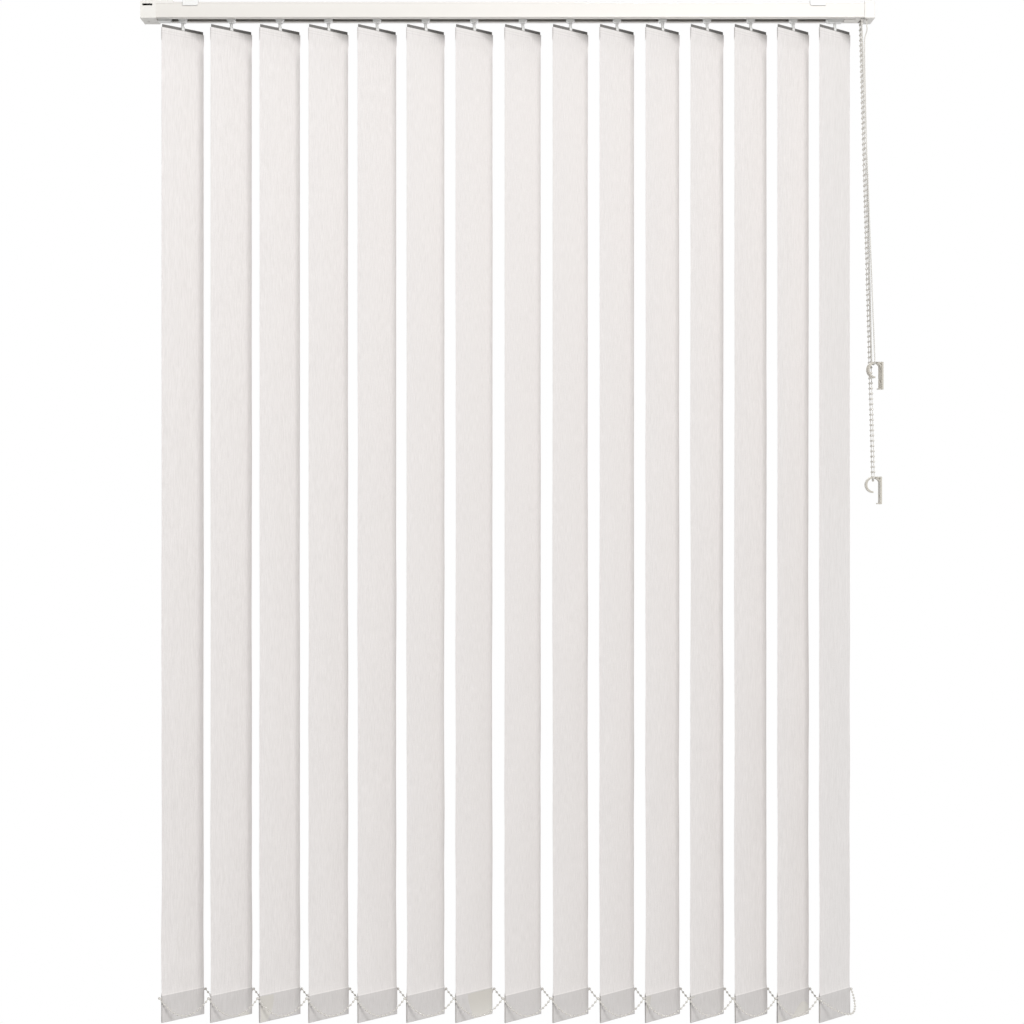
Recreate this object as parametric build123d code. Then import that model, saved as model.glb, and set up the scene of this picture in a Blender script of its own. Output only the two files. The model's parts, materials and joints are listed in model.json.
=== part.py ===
from build123d import *
import math
import os

# A vertical blind: fabric slats hang from carriers that run in a headrail.
# Sizes are in millimetres. X runs along the rail, Y towards the window, Z up.
# The origin lies midway between the two bracket screws, in the ceiling plane.

# Slats
slat_count = 15
slat_width = 89.0
slat_bottom = -1693.0
fabric = 0.4
rest_angle = 47.5
bottom_hem = 45.0
hem_slope = 4.5
weight_thick = 1.8
weight_margin = 1.5
pocket_gap = 0.1
hook_reach = 4.6
hook_tip = 1.2
hook_high = 3.2
hook_below_hem = 3.5

# Spacing of the carriers, counted from the lead carrier on the left
full_pitch = 81.0
full_gaps = 7
pitch_step = 1.68
carrier_width = 13.4
stack_gap = 0.8

# Rail profile
rail_depth = 45.0
rail_height = 26.5
rail_wall = 1.5
slot_width = 22.0
groove_high = 2.8
groove_deep = 1.2
bead_proud = 0.5
bead_high = 2.4

# End caps
lead_room = 41.0
control_room = 2.0
control_gap = 0.5
idler_cap_length = 26.0
control_cap_length = 16.7
cap_wall = 1.2
cap_end_wall = 2.8
cap_grip = 4.2
seat_gap = 0.15

# Brackets
bracket_width = 26.0
bracket_thick = 2.4
bracket_lip = 6.6
bracket_lip_thick = 1.5
bracket_hook = 0.9
bracket_play = 0.1
screw_hole_r = 2.25
left_bracket_inset = 57.0
right_bracket_inset = 77.5

# Carriers
roller_r = 3.5
roller_sides = 8
roller_width = 3.0
roller_play = 0.25
housing_high = 15.0
housing_lift = 1.0
gear_r = 5.5
gear_teeth = 8
tooth_high = 1.3
gear_thick = 4.0
gear_lift = 11.0
worm_r = 4.7
play = 0.3
skirt_below = 4.4
skirt_depth = 16.0
skirt_narrow = 8.0
last_skirt = 29.0
lead_block = 21.5
lead_block_gap = 19.0
lead_bar_deep = 14.0
lead_bar_thick = 4.0
spacer_spare = 3.0
spacer_wide = 6.0
spacer_thick = 0.45
lane_step = 0.75

# Stems and hangers
stem_r = 2.5
stem_sides = 8
running_play = 0.05
hang_gap = 12.7
hanger_thick = 1.4
hanger_high = 22.0
hanger_shows = 5.0
jaw_wide = 6.0
jaw_high = 4.5
jaw_thick = 1.0

# Tilt rod and chain wheel
rod_r = 3.0
rod_flutes = 4
flute_deep = 0.9
rod_play = 0.08
chain_r = 2.1
wheel_r = 7.8
wheel_thick = 6.0
wheel_rim = 0.8
wheel_floor = 1.6
wheel_sides = 12

# Cord and pulleys
cord_r = 1.0
cord_sides = 6
cord_line_y = -16.5
cord_low_lift = 9.5
idler_r = 5.0
pulley_r = 4.0
pulley_width = 4.4
pulley_rim = 1.1
pulley_floor = 1.2
pin_r = 1.3
pin_play = 0.06

# Cord clips
clip_ring_r = 13.7
clip_strip = 3.0
clip_sides = 24
clip_bar_deep = 8.0
clip_saddle = 2.0
clip_plate_high = 46.0
clip_plate_thick = 3.2
clip_plate_deep = 13.0
clip_hole_r = 2.0
cord_drop = 570.0
chain_drop = 760.5
cord_clip_x = 15.4
cord_clip_shift = 2.0
chain_clip_x = 17.5
cord_clip_turn = 20.0
chain_clip_turn = 8.0
chain_clip_y = 0.0
chain_clip_bend = 5.0
chain_seam = 0.02
cord_clip_bend = 3.7

# Stabiliser chains
chain_bead = 3.2
chain_link = 1.0
span_bead_count = 5
chain_sag = 29.0
end_link_out = 32.0
link_clear = 1.8

# Heights
rail_top = -bracket_thick - bracket_play
rail_bottom = rail_top - rail_height
ledge = rail_bottom + rail_wall
ceiling_inside = rail_top - rail_wall
half_depth = rail_depth / 2
inside = half_depth - rail_wall
slot = slot_width / 2
slat_top = rail_bottom - hang_gap
roller_z = ledge + roller_play + roller_r
housing_low = ledge + housing_lift
housing_top = housing_low + housing_high
gear_z = housing_low + gear_lift
skirt_low = rail_bottom - skirt_below
cord_low = ledge + cord_low_lift
cord_end_z = rail_bottom - 2.0
cord_high = cord_low + 2 * idler_r
rod_y = gear_r + worm_r + play
housing_half = slot + 1.0
rod_room = rod_r + play + 0.1
housing_back = rod_y + rod_room + 1.5

# Places along the rail
gaps = [full_pitch - pitch_step * max(0, n - full_gaps + 1) for n in range(slat_count - 1)]
lead_length = lead_room + sum(gaps)
control_length = slat_width / 2 + control_room
seam_run = lead_length + control_length
left_seam = -(seam_run + left_bracket_inset - right_bracket_inset) / 2
right_seam = left_seam + seam_run
stem_x = [left_seam + lead_room + sum(gaps[:n]) for n in range(slat_count)]
last_x = stem_x[-1]
rail_left = left_seam - cap_grip
rail_right = right_seam + cap_grip
bracket_x = (left_seam + left_bracket_inset, right_seam - right_bracket_inset)
idler_x = left_seam - 12.0
cord_out_x = right_seam - 3.6
cord_in_x = right_seam + 4.0
wheel_x = right_seam - 1.5
control_start = last_x + last_skirt / 2 + control_gap
ledge_end = right_seam - 15.0

# The stack that the carriers close into beside the fixed one
stack_pitch = carrier_width + stack_gap
last_gap = (last_skirt + carrier_width) / 2 + 1.2
stack_x = [last_x - last_gap - stack_pitch * (slat_count - 2 - n) for n in range(slat_count - 1)]
travel = [stack_x[n] - stem_x[n] for n in range(slat_count - 1)]
spacer_length = full_pitch + spacer_spare
lanes = math.ceil(spacer_length / stack_pitch) + 1

# Hooks at the ends of the slat weights
weight_half = weight_thick / 2
pocket_half = weight_half + pocket_gap
hem_half = pocket_half + fabric
hem_top = slat_bottom + bottom_hem
hook_z = hem_top - hook_below_hem
hook_at = slat_width / 2 + hook_reach
turn = math.radians(rest_angle)
hook_dx = hook_at * math.cos(turn)
hook_dy = hook_at * math.sin(turn)


def block(x0, x1, y0, y1, z0, z1):
    """A box between two corners."""
    return Pos((x0 + x1) / 2, (y0 + y1) / 2, (z0 + z1) / 2) * Box(x1 - x0, y1 - y0, z1 - z0)


def along_x(points, x0, x1):
    """A profile of (y, z) points, drawn out along the rail."""
    return extrude(Plane.YZ.offset(x0) * Polygon(*points, align=None), amount=x1 - x0)


def along_y(points, y0, y1):
    """A profile of (x, z) points, drawn out from front to back."""
    return extrude(Plane.XZ.offset(-y1) * Polygon(*points, align=None), amount=y1 - y0)


def rod_along_x(radius, x0, x1, y, z):
    return Pos((x0 + x1) / 2, y, z) * Rot(0, 90, 0) * Cylinder(radius, x1 - x0)


def rod_along_y(radius, y0, y1, x, z):
    return Pos(x, (y0 + y1) / 2, z) * Rot(90, 0, 0) * Cylinder(radius, y1 - y0)


def round_column(radius, sides, z0, z1):
    """An upright prism of many flats, inside the given radius."""
    return extrude(Plane.XY.offset(z0) * RegularPolygon(radius, sides), amount=z1 - z0)


def octagon_along_x(radius, x0, x1, y, z):
    """A prism of eight flats round the given radius, to clear a shaft or to carry one."""
    outer = radius / math.cos(math.pi / 8)
    face = Plane.YZ.offset(x0) * Pos(y, z) * RegularPolygon(outer, 8)
    return extrude(face, amount=x1 - x0)


def pin(y0, y1, x, z):
    """A pulley's pin, of eight flats."""
    return extrude(Plane.XZ.offset(-y1) * Pos(x, z) * RegularPolygon(pin_r, 8), amount=y1 - y0)


def rail_outline(grow):
    """Half of the rail's outside, (y, z) from its lower edge to its top, grown all round."""
    half = half_depth + grow
    low = rail_bottom - grow
    top = rail_top + grow
    return [
        (half - bead_proud, low),
        (half + bead_proud, low + 0.9),
        (half + bead_proud, low + bead_high),
        (half, low + bead_high + 0.6),
        (half, top - groove_high),
        (half - groove_deep, top - groove_high),
        (half - groove_deep, top),
    ]


def mirrored(half_points):
    """A closed profile from its back half, given from the bottom up."""
    return half_points + [(-y, z) for y, z in reversed(half_points)]


def headrail():
    upper = inside - groove_deep
    shoulder = rail_top - groove_high - rail_wall
    inner = [(inside, ledge), (inside, shoulder), (upper, shoulder), (upper, ceiling_inside)]
    rail = along_x(mirrored(rail_outline(0)), rail_left, rail_right)
    rail -= along_x(mirrored(inner), rail_left - 1, rail_right + 1)
    rail -= block(rail_left - 1, rail_right + 1, -slot, slot, rail_bottom - 1, ledge + 1)
    # The ledges are cut away over the control unit, where cord and chain leave
    rail -= block(ledge_end, rail_right + 1, -inside, inside, rail_bottom - 1, ledge + 0.5)
    return rail


def bracket(x, side):
    """A clip over the rail; its lip has one sloping corner, on the given side."""
    half = bracket_width / 2
    lip_in = half_depth + bracket_play
    lip_out = lip_in + bracket_lip_thick
    lip_low = rail_top - bracket_lip
    plate = block(-half, half, -lip_out, lip_out, -bracket_thick, 0)
    corner = 2.4
    lip_edge = [
        (-half, -bracket_thick),
        (-half, lip_low + (corner if side < 0 else 0)),
        (-half + (corner if side < 0 else 0), lip_low),
        (half - (corner if side > 0 else 0), lip_low),
        (half, lip_low + (corner if side > 0 else 0)),
        (half, -bracket_thick),
    ]
    # A sloping corner needs two points, and a square one only one
    lip_edge = [p for n, p in enumerate(lip_edge) if p not in lip_edge[:n]]
    clip = plate + along_y(lip_edge, -lip_out, -lip_in) + along_y(lip_edge, lip_in, lip_out)
    hook_top = rail_top - 0.5
    hook_low = rail_top - groove_high + bracket_play
    for y0, y1 in ((-lip_in, -lip_in + bracket_hook), (lip_in - bracket_hook, lip_in)):
        clip += block(-half + 3, half - 3, y0, y1, hook_low, hook_top)
    clip -= Pos(0, 0, -bracket_thick / 2) * Cylinder(screw_hole_r, bracket_thick + 2)
    return Pos(x, 0, 0) * clip


def cap_shell(x0, x1, open_at):
    """A thin cap over the rail's profile, open on the side towards the rail."""
    outer = along_x(mirrored(rail_outline(seat_gap + cap_wall)), x0, x1)
    low = x0 + cap_end_wall if open_at > 0 else x0 - 1
    high = x1 + 1 if open_at > 0 else x1 - cap_end_wall
    return outer - along_x(mirrored(rail_outline(seat_gap)), low, high)


def idler_end_cap():
    outer_x = left_seam - idler_cap_length
    wall_x = outer_x + cap_end_wall
    cap = cap_shell(outer_x, left_seam, 1)
    front = half_depth + seat_gap
    # Slot in the front wall, and a screw hole below
    slot_top = rail_top - groove_high - 0.4
    slot_cut = (outer_x + 3.3, outer_x + 20.0)
    cap -= block(*slot_cut, -front - 3, -front + 0.5, slot_top - 3.4, slot_top)
    cap -= Pos(outer_x + 9.4, 4, rail_bottom) * Cylinder(screw_hole_r, 8)
    # Tongue over the rail's top, with a lip that fills the groove at the front
    tongue_end = left_seam + 28.3
    tongue_low = rail_top + 0.1
    tongue = block(wall_x, tongue_end, -half_depth, half_depth, tongue_low, -0.2)
    lip_low = rail_top - groove_high + 0.1
    lip_back = -half_depth + groove_deep - 0.1
    lip = block(left_seam - 0.5, tongue_end, -half_depth, lip_back, lip_low, tongue_low + 0.5)
    shell_top = rail_top + seat_gap + cap_wall
    tongue -= block(wall_x - 1, left_seam, -half_depth - 1, half_depth + 1, -9, shell_top - 0.2)
    cap = cap + tongue + lip
    # Pin of the idler pulley and the bearing of the tilt rod
    idler_z = cord_low + idler_r
    pin_end = cord_line_y + pulley_width / 2 + 0.8
    cap += pin(-front - 0.3, pin_end, idler_x, idler_z)
    bearing = octagon_along_x(rod_r + 2.0, wall_x - 0.2, wall_x + 8, rod_y, gear_z)
    bore = octagon_along_x(rod_r + rod_play, wall_x, wall_x + 9, rod_y, gear_z)
    return cap + bearing - bore


def control_end_cap():
    outer_x = right_seam + control_cap_length
    wall_x = outer_x - cap_end_wall
    cap = cap_shell(right_seam, outer_x, -1)
    base_top = ledge + 0.3
    fit = inside - 0.2
    roof = ceiling_inside - 0.3
    roof_half = fit - groove_deep
    shoulder = rail_top - groove_high - rail_wall - 0.3
    # Floor of the control unit inside the rail, and the block that carries the rod
    cap += block(ledge_end + play, wall_x + 0.3, -fit, fit, rail_bottom, base_top)
    profile = [
        (-housing_half, base_top),
        (fit, base_top),
        (fit, shoulder),
        (roof_half, shoulder),
        (roof_half, roof),
        (-housing_half, roof),
    ]
    block_end = wheel_x - wheel_thick / 2 - 1.2
    cap += along_x(profile, control_start, block_end)
    cap += block(control_start, ledge_end + 2, -slot + play, slot - play, rail_bottom - 1, base_top)
    # Wall with the pins of the two cord pulleys
    wall_back = -housing_half + 0.5
    wall_front = cord_line_y + pulley_width / 2 + 0.6
    cap += block(control_start, rail_right + 3, wall_front, wall_back, base_top, roof)
    pin_front = cord_line_y - pulley_width / 2 - 0.6
    for x, z in pulley_places():
        cap += pin(pin_front, wall_front + 0.3, x, z)
    # Rod bearings in the block and in the end wall
    cap -= octagon_along_x(rod_r + play, control_start - 1, block_end + 1, rod_y, gear_z)
    cap += octagon_along_x(rod_r + 2.0, wall_x - 8, wall_x + 0.2, rod_y, gear_z)
    cap -= octagon_along_x(rod_r + rod_play, wall_x - 9, wall_x, rod_y, gear_z)
    # Outlets of the cord and of the bead chain
    outlet_low = rail_bottom - 4
    cord_room = cord_r + 1.2
    chain_room = chain_r + 1.2
    cord_x = (cord_out_x - cord_room, cord_in_x + cord_room)
    cord_y = (cord_line_y - cord_room, cord_line_y + cord_room)
    cap -= block(*cord_x, *cord_y, outlet_low, base_top + 0.1)
    chain_x = (wheel_x - chain_room, wheel_x + chain_room)
    chain_y = (rod_y - wheel_r - chain_room, rod_y + wheel_r + chain_room)
    cap -= block(*chain_x, *chain_y, outlet_low, base_top + 0.1)
    return cap


def pulley_places():
    """Where the pulleys turn the low and the high run of the cord downwards."""
    low = (cord_out_x - pulley_r, cord_low - pulley_r)
    high = (cord_in_x - pulley_r, cord_high - pulley_r)
    return low, high


def grooved_wheel(rim_r, seat_r, thick, floor_wide, bore_r):
    """A grooved wheel of many flats on an axle that runs from front to back."""
    floor_r = seat_r - play - 0.4
    rings = []
    for y, radius in (
        (-thick / 2, rim_r),
        (-floor_wide / 2, floor_r),
        (floor_wide / 2, floor_r),
        (thick / 2, rim_r),
    ):
        turns = [2 * math.pi * n / wheel_sides for n in range(wheel_sides)]
        rings.append([(radius * math.cos(a), y, radius * math.sin(a)) for a in turns])
    outer = bore_r / math.cos(math.pi / 8)
    bore = extrude(Plane.XZ.offset(-thick) * RegularPolygon(outer, 8), amount=2 * thick)
    return skin(rings) - bore


def pulley(pitch_r, x, z):
    """A pulley that turns the draw cord."""
    bore = pin_r + pin_play
    wheel = grooved_wheel(pitch_r + pulley_rim, pitch_r - cord_r, pulley_width, pulley_floor, bore)
    return Pos(x, cord_line_y, z) * wheel


def chain_wheel():
    """The wheel that the bead chain turns, keyed on the end of the tilt rod."""
    bore = rod_r + running_play
    rim_r = wheel_r + wheel_rim
    wheel = grooved_wheel(rim_r, wheel_r - chain_r, wheel_thick, wheel_floor, bore)
    return Pos(wheel_x, rod_y, gear_z) * Rot(0, 0, 90) * wheel


def tilt_rod():
    """A fluted rod through every carrier."""
    start = left_seam - idler_cap_length + cap_end_wall + 2.0
    end = right_seam + control_cap_length - cap_end_wall - 2.0
    rod = rod_along_x(rod_r, start, end, rod_y, gear_z)
    for n in range(rod_flutes):
        angle = 360 / rod_flutes * n + 45
        flute = Pos(0, rod_r, 0) * Box(end - start, 2 * flute_deep, 1.2)
        # The rod keeps its full round over the chain wheel and in its bearings
        rod -= Pos((start + end) / 2 - 20, rod_y, gear_z) * Rot(angle, 0, 0) * flute
    return rod


def roller_pair(x):
    """The two rollers of one axle, which run on the rail's ledges."""
    face = Pos(x, roller_z) * RegularPolygon(roller_r, roller_sides)
    back = extrude(Plane.XZ.offset(-housing_half) * face, amount=-roller_width)
    return back + extrude(Plane.XZ.offset(housing_half) * face, amount=roller_width)


def housing(x, width):
    """The body of a carrier in the rail, with a window for the gear and a hole for the rod."""
    bulge_low = roller_z + roller_r + 0.5
    profile = [
        (-housing_half, housing_low),
        (housing_half, housing_low),
        (housing_half, bulge_low),
        (housing_back, bulge_low),
        (housing_back, housing_top),
        (-housing_half, housing_top),
    ]
    body = along_x(profile, x - width / 2, x + width / 2)
    window = gear_r + play + 0.2
    gear_half = gear_thick / 2 + play
    ends = (x - width / 2 - 1, x + width / 2 + 1)
    body -= block(*ends, -window, window, gear_z - gear_half, gear_z + gear_half)
    body -= octagon_along_x(rod_r + play, *ends, rod_y, gear_z)
    return body


def skirt(x, top_width, low_width):
    """The tapered foot of a carrier, seen below the rail."""
    half_top = top_width / 2
    half_low = low_width / 2
    middle = rail_bottom - 0.8
    profile = [
        (x - half_top, housing_low + 0.2),
        (x - half_top, middle),
        (x - half_low, skirt_low),
        (x + half_low, skirt_low),
        (x + half_top, middle),
        (x + half_top, housing_low + 0.2),
    ]
    return along_y(profile, -skirt_depth / 2, skirt_depth / 2)


def carrier(n):
    """Carrier n, with its rollers and the spacer strip that draws it along."""
    x = stem_x[n]
    body = housing(x, carrier_width) + roller_pair(x)
    if n < slat_count - 1:
        body += skirt(x, carrier_width, skirt_narrow)
    else:
        body += skirt(x, last_skirt, skirt_narrow + last_skirt - carrier_width)
    # Running bore for the stem, of eight flats
    bore_r = (stem_r + running_play) / math.cos(math.pi / 8)
    body -= Pos(x, 0, 0) * round_column(bore_r, 8, skirt_low - 1, gear_z - gear_thick / 2)
    if n == 0:
        return body + lead_extension(x)
    # Each spacer lies in a lane of its own, so that the strips pass each other
    lane = housing_top + 0.5 + lane_step * (n % lanes)
    post_y = (spacer_wide / 2, spacer_wide / 2 + 2.5)
    body += block(x - 2, x + 2, *post_y, housing_top - 0.2, lane + spacer_thick)
    strip_y = (-spacer_wide / 2, spacer_wide / 2)
    return body + block(x - spacer_length, x + 2, *strip_y, lane, lane + spacer_thick)


def lead_extension(x):
    """The lead carrier's second block, which the draw cord is tied to."""
    right = x - lead_block_gap
    left = right - lead_block
    # The block leaves room for the tilt rod above its back half
    rod_front = rod_y - rod_room
    rod_under = gear_z - rod_room
    profile = [
        (-housing_half, housing_low),
        (housing_half, housing_low),
        (housing_half, rod_under),
        (rod_front, rod_under),
        (rod_front, gear_z),
        (-housing_half, gear_z),
    ]
    part = along_x(profile, left, right)
    part += block(left, right, -skirt_depth / 2, skirt_depth / 2, skirt_low + 2, housing_low + 0.2)
    part += roller_pair(left + roller_r + 1.5) + roller_pair(right - roller_r - 1.5)
    bar_top = rod_under
    bar_half = lead_bar_deep / 2
    bar_x = (right - 0.2, x - carrier_width / 2 + 0.2)
    part += block(*bar_x, -bar_half, bar_half, bar_top - lead_bar_thick, bar_top)
    # Fork round the low run of the cord
    fork_y = (cord_line_y - cord_r - 1.3, -housing_half + 0.2)
    middle = (left + right) / 2
    fork_z = (cord_low - 2.3, gear_z)
    part += block(middle - 3, middle + 3, *fork_y, *fork_z)
    hole = rod_along_x(cord_r + play + 0.05, middle - 4, middle + 4, cord_line_y, cord_low)
    return part - hole


def gear_face():
    """A toothed wheel's outline."""
    points = []
    for tooth in range(gear_teeth):
        for share, radius in ((0.0, gear_r), (0.5, gear_r - tooth_high)):
            angle = 2 * math.pi * (tooth + share) / gear_teeth
            points.append((radius * math.cos(angle), radius * math.sin(angle)))
    return Polygon(*points, align=None)


def stem(x):
    """A stem with the wheel that the tilt rod turns, its jaws, and the hanger strip."""
    gear_low = gear_z - gear_thick / 2
    gear = extrude(Plane.XY.offset(gear_low) * gear_face(), amount=gear_thick)
    cap_top = slat_top + 1.7
    shaft = round_column(stem_r, stem_sides, cap_top - 0.3, gear_low + 0.2)
    jaw_in = hanger_thick / 2 + running_play
    jaw_out = jaw_in + jaw_thick
    cap = block(-jaw_wide / 2, jaw_wide / 2, -jaw_out, jaw_out, slat_top - jaw_high, cap_top)
    cap -= block(-jaw_wide, jaw_wide, -jaw_in, jaw_in, slat_top - jaw_high - 1, slat_top + 0.2)
    half = slat_width / 2
    hanger = block(
        -half, half, -hanger_thick / 2, hanger_thick / 2, slat_top - hanger_high, slat_top
    )
    return [Pos(x, 0, 0) * Rot(0, 0, rest_angle) * s for s in (gear + shaft + cap, hanger)]


def slat(n):
    """A fabric vane with its hems, and the weight in the lower one."""
    half = slat_width / 2
    sheet = fabric / 2
    top = slat_top - hanger_shows
    hem_in = hanger_thick / 2 + pocket_gap
    hem_out = hem_in + fabric
    hem_floor = slat_top - hanger_high - 0.3
    side = [
        (pocket_half, slat_bottom),
        (hem_half, slat_bottom + 0.8),
        (hem_half, hem_top),
        (sheet, hem_top + hem_slope),
        (sheet, hem_floor - hem_slope),
        (hem_out, hem_floor),
        (hem_out, top),
    ]
    vane = along_x(mirrored(side), -half, half)
    vane -= along_x(mirrored([(hem_in, hem_floor), (hem_in, top + 1)]), -half - 1, half + 1)
    pocket = [(pocket_half, slat_bottom + fabric), (pocket_half, hem_top)]
    vane -= along_x(mirrored(pocket), -half - 1, half + 1)
    solids = [vane, weight(half)]
    if n == slat_count - 1:
        path = (-hook_at, 0, hook_at, 0, -end_link_out)
        solids.append(bead_strand(*path))
    return [Pos(stem_x[n], 0, 0) * Rot(0, 0, rest_angle) * s for s in solids]


def weight(half):
    """The plate in the lower hem, with an upturned hook at each end."""
    low = slat_bottom + fabric + pocket_gap
    high = hem_top - weight_margin
    reach = hook_at + hook_tip
    low_hook = hook_z - hook_high / 2
    arm = 1.2
    outline = [
        (-half + weight_margin, low),
        (half - weight_margin, low),
        (half - weight_margin, low_hook),
        (reach, low_hook),
        (reach, low_hook + hook_high),
        (reach - arm, low_hook + hook_high),
        (reach - arm, low_hook + arm),
        (half + 1.2, low_hook + arm),
        (half - weight_margin, high),
    ]
    left = [(-x, z) for x, z in reversed(outline[2:])]
    return along_y(outline + left, -weight_half, weight_half)


def bead_strand(x0, y0, x1, y1, bulge):
    """A hanging strand of beads between two hooks, square in section, bulging sideways."""
    run = x1 - x0
    steps = 2 * span_bead_count
    clear = link_clear / run
    squares = []
    for n in range(steps + 1):
        share = clear + (1 - 2 * clear) * n / steps
        bow = 4 * share * (1 - share)
        half = (chain_bead if n % 2 else chain_link) / 2
        x = x0 + run * share
        y = y0 + (y1 - y0) * share + bulge * bow
        z = hook_z - chain_sag * bow
        corners = ((-half, -half), (half, -half), (half, half), (-half, half))
        squares.append([(x, y + dy, z + dz) for dy, dz in corners])
    return skin(squares)


def skin(rings):
    """A solid with flat sides between rings of as many points each, closed at both ends."""
    outlines = [rings[0], rings[-1]]
    sides = len(rings[0])
    for near, far in zip(rings, rings[1:]):
        for n in range(sides):
            after = (n + 1) % sides
            outlines.append([near[n], near[after], far[after], far[n]])
    return Solid(Shell([Face(Wire.make_polygon(points)) for points in outlines]))


def stabiliser_chain(side):
    """The strands that link the weights' hooks, at the front (-1) or at the back (1)."""
    strands = []
    for n in range(slat_count - 1):
        start = stem_x[n] + side * hook_dx
        end = stem_x[n + 1] + side * hook_dx
        strands.append(bead_strand(start, side * hook_dy, end, side * hook_dy, 0))
    return strands


def tube(points, radii, radius):
    """A cord's tube along straight runs joined by arcs."""
    path = FilletPolyline(*points, radius=radii)
    start = Plane(origin=path @ 0, z_dir=path % 0)
    return sweep(start * RegularPolygon(radius, cord_sides), path=path)


def rounded(points, fixed):
    """An arc's radius for each corner: 0.45 of its shorter run over the tangent of half the turn."""
    radii = []
    for n in range(1, len(points) - 1):
        before = Vector(*points[n]) - Vector(*points[n - 1])
        after = Vector(*points[n + 1]) - Vector(*points[n])
        half_turn = math.radians(before.get_angle(after)) / 2
        free = 0.45 * min(before.length, after.length) / math.tan(half_turn)
        radii.append(fixed.get(n, free))
    return radii


def rail_cord():
    """The draw cord's run in the rail, from one outlet round the idler to the other."""
    far = idler_x - idler_r
    points = [
        (cord_out_x, cord_line_y, cord_end_z),
        (cord_out_x, cord_line_y, cord_low),
        (far, cord_line_y, cord_low),
        (far, cord_line_y, cord_high),
        (cord_in_x, cord_line_y, cord_high),
        (cord_in_x, cord_line_y, cord_end_z),
    ]
    bend = idler_r - 0.01
    return tube(points, [pulley_r, bend, bend, pulley_r], cord_r)


def beside_clip(x, y, radius, turn):
    """Where the strands pass a clip's bar, in front of it and behind it, turned as the clip is."""
    out = clip_bar_deep / 2 + radius + play
    dx = out * math.sin(math.radians(turn))
    dy = out * math.cos(math.radians(turn))
    return (x + dx, y - dy), (x - dx, y + dy)


def draw_cord():
    """The free loop of the draw cord, from one outlet through its clip to the other."""
    x = right_seam + cord_clip_x
    front, back = beside_clip(x, cord_line_y, cord_r, cord_clip_turn)
    low = rail_bottom - cord_drop - clip_strip - cord_r - play
    points = [
        (cord_out_x, cord_line_y, cord_end_z),
        (cord_out_x, cord_line_y, cord_end_z - 9),
        (cord_out_x + 0.6, cord_line_y - 0.2, cord_end_z - 26),
        (*front, low),
        (*back, low),
        (cord_out_x + 3.4, cord_line_y + 0.1, cord_end_z - 42),
        (cord_in_x - 2.4, cord_line_y, cord_end_z - 27),
        (cord_in_x + 1.4, cord_line_y, cord_end_z - 17),
        (cord_in_x, cord_line_y, cord_end_z - 8),
        (cord_in_x, cord_line_y, cord_end_z),
    ]
    radii = rounded(points, {3: cord_clip_bend, 4: cord_clip_bend})
    print("draw cord radii", [round(r, 1) for r in radii])
    return tube(points, radii, cord_r)


def bead_chain():
    """The operating chain, round its wheel and down to its clip."""
    near, far = rod_y - wheel_r, rod_y + wheel_r
    top = gear_z + wheel_r
    x = right_seam + chain_clip_x
    front, back = beside_clip(x, chain_clip_y, chain_r, chain_clip_turn)
    low = rail_bottom - chain_drop - clip_strip - chain_r - play
    turn_z = rail_bottom - 6
    points = [
        (x, chain_clip_y, low),
        (*front, low),
        (wheel_x + 0.6, near - 0.3, turn_z - 30),
        (wheel_x, near, turn_z),
        (wheel_x, near, top),
        (wheel_x, far, top),
        (wheel_x, far, turn_z),
        (wheel_x + 0.6, far - 0.4, turn_z - 30),
        (*back, low),
        (x, chain_clip_y + chain_seam, low),
    ]
    over = wheel_r - 0.01
    radii = rounded(points, {1: chain_clip_bend, 4: over, 5: over, 8: chain_clip_bend})
    print("bead chain radii", [round(r, 1) for r in radii])
    return tube(points, radii, chain_r)


def cord_clip(x, y, top, angle):
    """A P-shaped clip: an open ring under a bar, and a plate with a screw hole."""
    outer = clip_ring_r
    inner = outer - clip_strip
    half = clip_bar_deep / 2
    face = RegularPolygon(outer, clip_sides) - RegularPolygon(inner, clip_sides)
    ring = extrude(Plane.XZ.offset(-half) * face, amount=2 * half)
    # The ring is open on the right, between its foot and the plate
    ring -= block(0, outer + 1, -half - 1, half + 1, -inner * 0.86, outer + 1)
    ring -= block(inner * 0.55, outer + 1, -half - 1, half + 1, -outer - 1, 0)
    plate_low = outer - clip_plate_high
    plate_in = outer - clip_plate_thick
    deep = clip_plate_deep / 2
    bar = block(-0.3, outer, -half, half, inner, outer)
    # The top's lower edges slope away where the cord runs round them
    cut = clip_saddle
    saddle = along_x([(half - cut - 1, inner - 1), (half + 1, inner - 1), (half + 1, inner + cut + 1)], -4, 4)
    plate = block(plate_in, outer, -deep, deep, plate_low, outer)
    foot = block(plate_in - 4.5, plate_in + 0.2, -half, half, plate_low, plate_low + 1.8)
    hole = rod_along_x(clip_hole_r, plate_in - 1, outer + 1, 0, plate_low + 14)
    clip = ring + bar + plate + foot - hole - saddle - mirror(saddle, Plane.XZ)
    return Pos(x, y, top - outer) * Rot(0, 0, angle) * clip


def cord_clips():
    turned = math.radians(cord_clip_turn)
    first_x = right_seam + cord_clip_x + cord_clip_shift * math.cos(turned)
    first_y = cord_line_y + cord_clip_shift * math.sin(turned)
    second_x = right_seam + chain_clip_x
    first = cord_clip(first_x, first_y, rail_bottom - cord_drop, cord_clip_turn)
    second = cord_clip(second_x, chain_clip_y, rail_bottom - chain_drop, chain_clip_turn)
    return [first, second]


def save(name, shape):
    solids = shape if isinstance(shape, list) else [shape]
    whole = Compound(children=[s for item in solids for s in item.solids()])
    export_step(whole, f"parts/{name}.step")


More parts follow.
